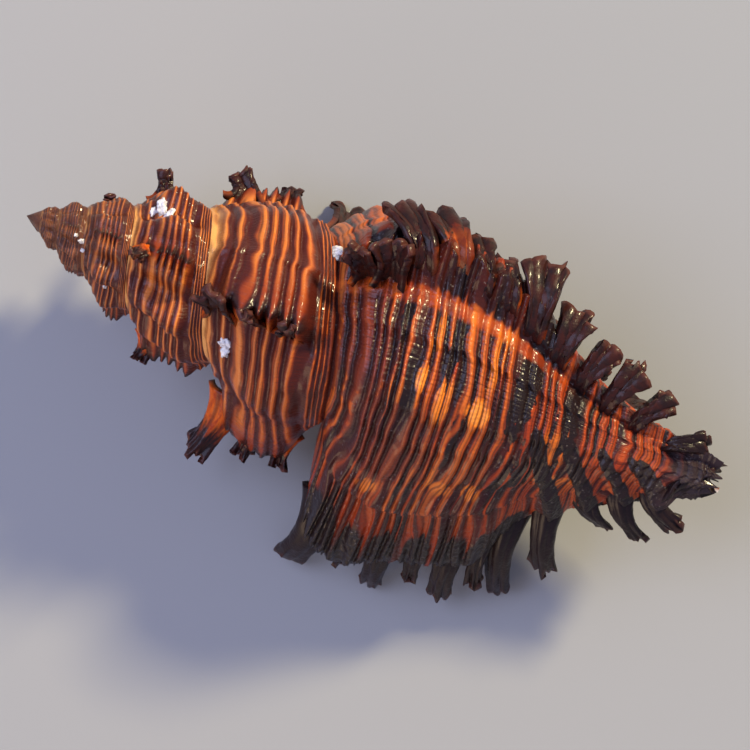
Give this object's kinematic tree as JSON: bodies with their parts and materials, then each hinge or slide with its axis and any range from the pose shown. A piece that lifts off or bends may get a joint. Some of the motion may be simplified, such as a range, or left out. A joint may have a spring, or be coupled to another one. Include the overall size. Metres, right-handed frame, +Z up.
{
  "type": "murex shell",
  "caption": "Whole murex sea shell lying on its mouth side: coiled spire, last whorl with frilled fronds on three ribs, oval mouth and narrow canal.",
  "frame": {"origin": "centre of the box round the shell, on the surface it rests on", "axes": "+X along the shell's axis from the tip of the spire to the end of the canal, +Z up out of its back, the outer lip points to -Y"},
  "size_m": [0.0994, 0.0546, 0.0415],
  "materials": {
    "shell": "natural shell, orange and dark brown spiral cords, black frond tips, glossy"
  },
  "bodies": {
    "root": {"shell": "shell"}
  },
  "joints": []
}
